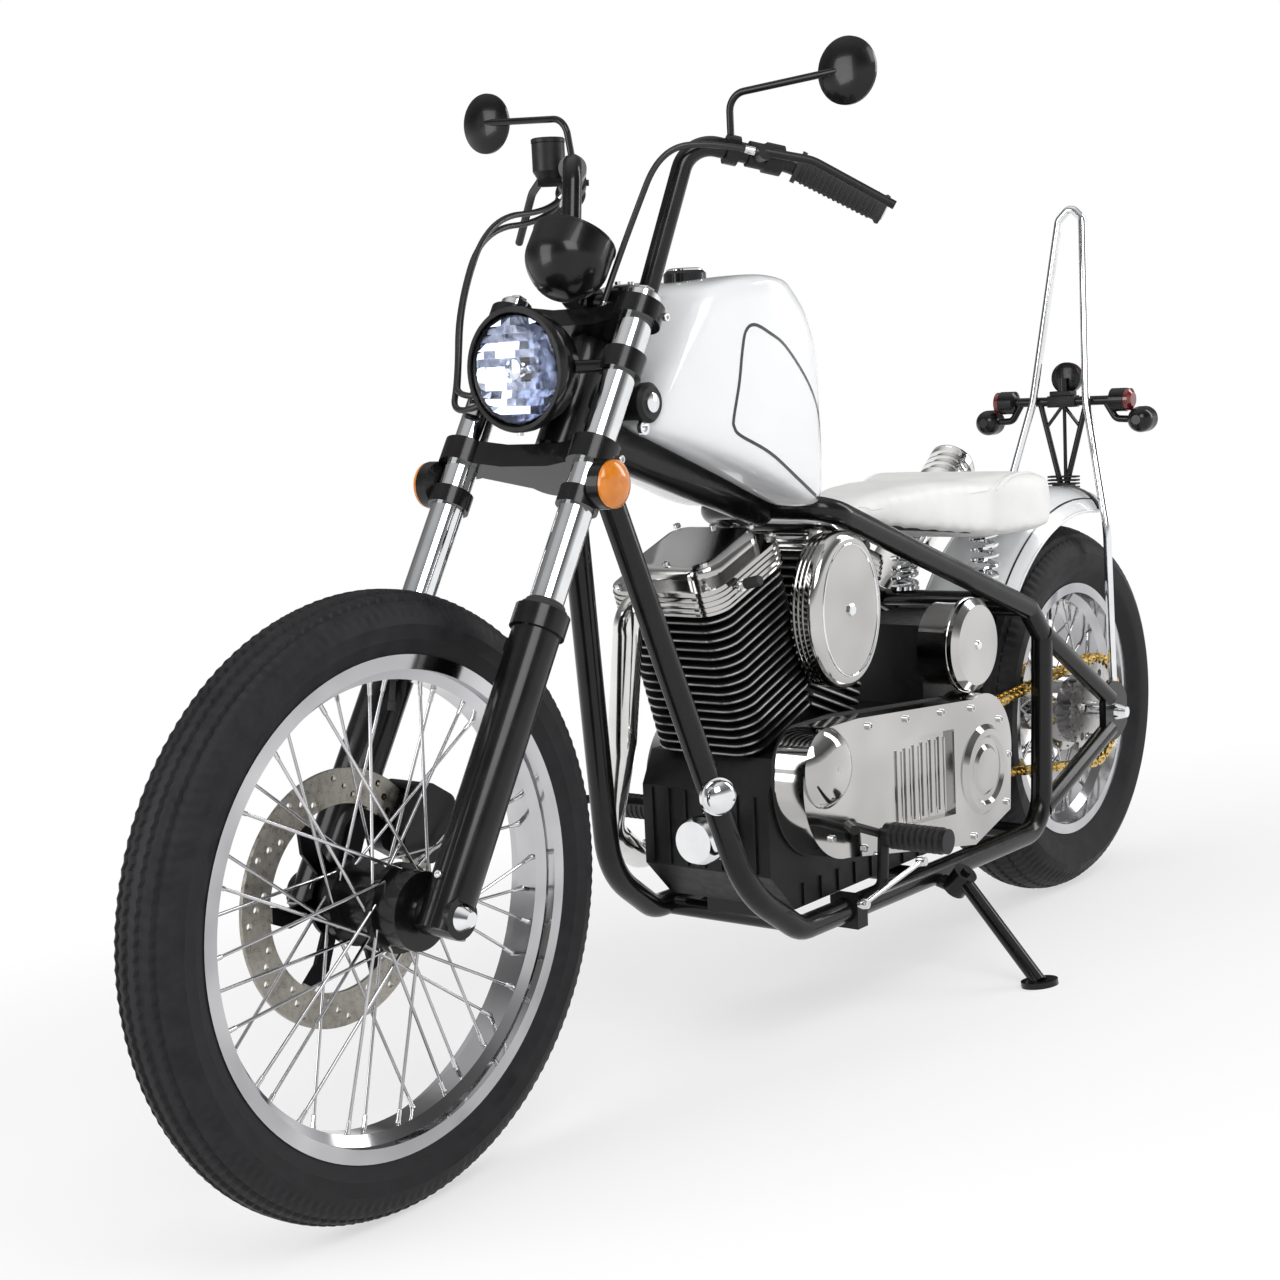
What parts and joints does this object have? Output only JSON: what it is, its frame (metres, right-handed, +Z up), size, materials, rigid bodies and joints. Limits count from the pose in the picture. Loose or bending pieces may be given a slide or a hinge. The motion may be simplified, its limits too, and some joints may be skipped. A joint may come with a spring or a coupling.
{
  "type": "chopper motorcycle",
  "caption": "Chopper motorcycle on its side stand: raked fork, tall bars, V engine, solo saddle, tall hoop behind; wheels turn, fork steers, stand folds.",
  "frame": {"origin": "middle of the parked bike's footprint on the floor", "axes": "+X forward, +Y to the rider's left, +Z up; the bike leans 8 degrees to its left on the side stand"},
  "size_m": [2.2948, 0.7294, 1.3324],
  "materials": {
    "frame_main": "gloss",
    "rear_fork": "gloss",
    "rear_axle": "polished",
    "crankcase": "satin",
    "cylinder_barrels": "satin",
    "cylinder_heads": "polished",
    "left_engine_cover": "polished",
    "right_engine_cover": "polished",
    "intake_cover": "polished",
    "electrics_canister": "polished",
    "battery_box": "matte",
    "exhaust": "polished",
    "drive_chain": "satin",
    "fuel_tank": "gloss",
    "fuel_cap": "gloss",
    "seat": "satin",
    "seat_springs": "polished",
    "rear_fender": "gloss",
    "sissy_bar": "polished",
    "tail_bracket": "gloss",
    "tail_lamp": "clear",
    "rear_lenses": "clear",
    "foot_controls": "satin",
    "front_axle": "polished",
    "fork_tubes": "polished",
    "fork_sliders": "gloss",
    "fork_yokes": "gloss",
    "headlight_shell": "gloss",
    "headlight_lens": "clear",
    "speedometer": "gloss",
    "handlebar": "gloss",
    "grips": "matte",
    "hand_controls": "satin",
    "mirrors": "gloss",
    "front_signals": "gloss",
    "front_lenses": "clear",
    "brake_caliper": "satin",
    "control_cables": "matte",
    "front_tyre": "matte",
    "front_rim": "polished",
    "front_hub": "gloss",
    "brake_disc": "brushed",
    "rear_tyre": "matte",
    "rear_rim": "polished",
    "rear_hub": "polished",
    "sprocket": "brushed",
    "side_stand": "gloss"
  },
  "bodies": {
    "frame": {"frame_main": "frame_main", "rear_fork": "rear_fork", "rear_axle": "rear_axle", "crankcase": "crankcase", "cylinder_barrels": "cylinder_barrels", "cylinder_heads": "cylinder_heads", "left_engine_cover": "left_engine_cover", "right_engine_cover": "right_engine_cover", "intake_cover": "intake_cover", "electrics_canister": "electrics_canister", "battery_box": "battery_box", "exhaust": "exhaust", "drive_chain": "drive_chain", "fuel_tank": "fuel_tank", "fuel_cap": "fuel_cap", "seat": "seat", "seat_springs": "seat_springs", "rear_fender": "rear_fender", "sissy_bar": "sissy_bar", "tail_bracket": "tail_bracket", "tail_lamp": "tail_lamp", "rear_lenses": "rear_lenses", "foot_controls": "foot_controls"},
    "steering": {"front_axle": "front_axle", "fork_tubes": "fork_tubes", "fork_sliders": "fork_sliders", "fork_yokes": "fork_yokes", "headlight_shell": "headlight_shell", "headlight_lens": "headlight_lens", "speedometer": "speedometer", "handlebar": "handlebar", "grips": "grips", "hand_controls": "hand_controls", "mirrors": "mirrors", "front_signals": "front_signals", "front_lenses": "front_lenses", "brake_caliper": "brake_caliper", "control_cables": "control_cables"},
    "front_wheel": {"front_tyre": "front_tyre", "front_rim": "front_rim", "front_hub": "front_hub", "brake_disc": "brake_disc"},
    "rear_wheel": {"rear_tyre": "rear_tyre", "rear_rim": "rear_rim", "rear_hub": "rear_hub", "sprocket": "sprocket"},
    "side_stand": {"side_stand": "side_stand"}
  },
  "joints": [
    {"name": "steering", "type": "hinge", "parent": "frame", "child": "steering", "pos_m": [0.41245, -0.01036, 0.88397], "axis": [-0.5225, 0.1187, 0.8443], "range_deg": [-35, 35]},
    {"name": "front_wheel_spin", "type": "hinge", "parent": "steering", "child": "front_wheel", "pos_m": [0.7975, -0.08583, 0.34703], "axis": [0, 0.9903, -0.1392], "continuous": true},
    {"name": "rear_wheel_spin", "type": "hinge", "parent": "frame", "child": "rear_wheel", "pos_m": [-0.8325, -0.09064, 0.31281], "axis": [0, 0.9903, -0.1392], "continuous": true},
    {"name": "side_stand_fold", "type": "hinge", "parent": "frame", "child": "side_stand", "pos_m": [-0.2225, 0.05416, 0.14312], "axis": [0.077, 0.7162, 0.6936], "range_deg": [0, 102.82]}
  ]
}
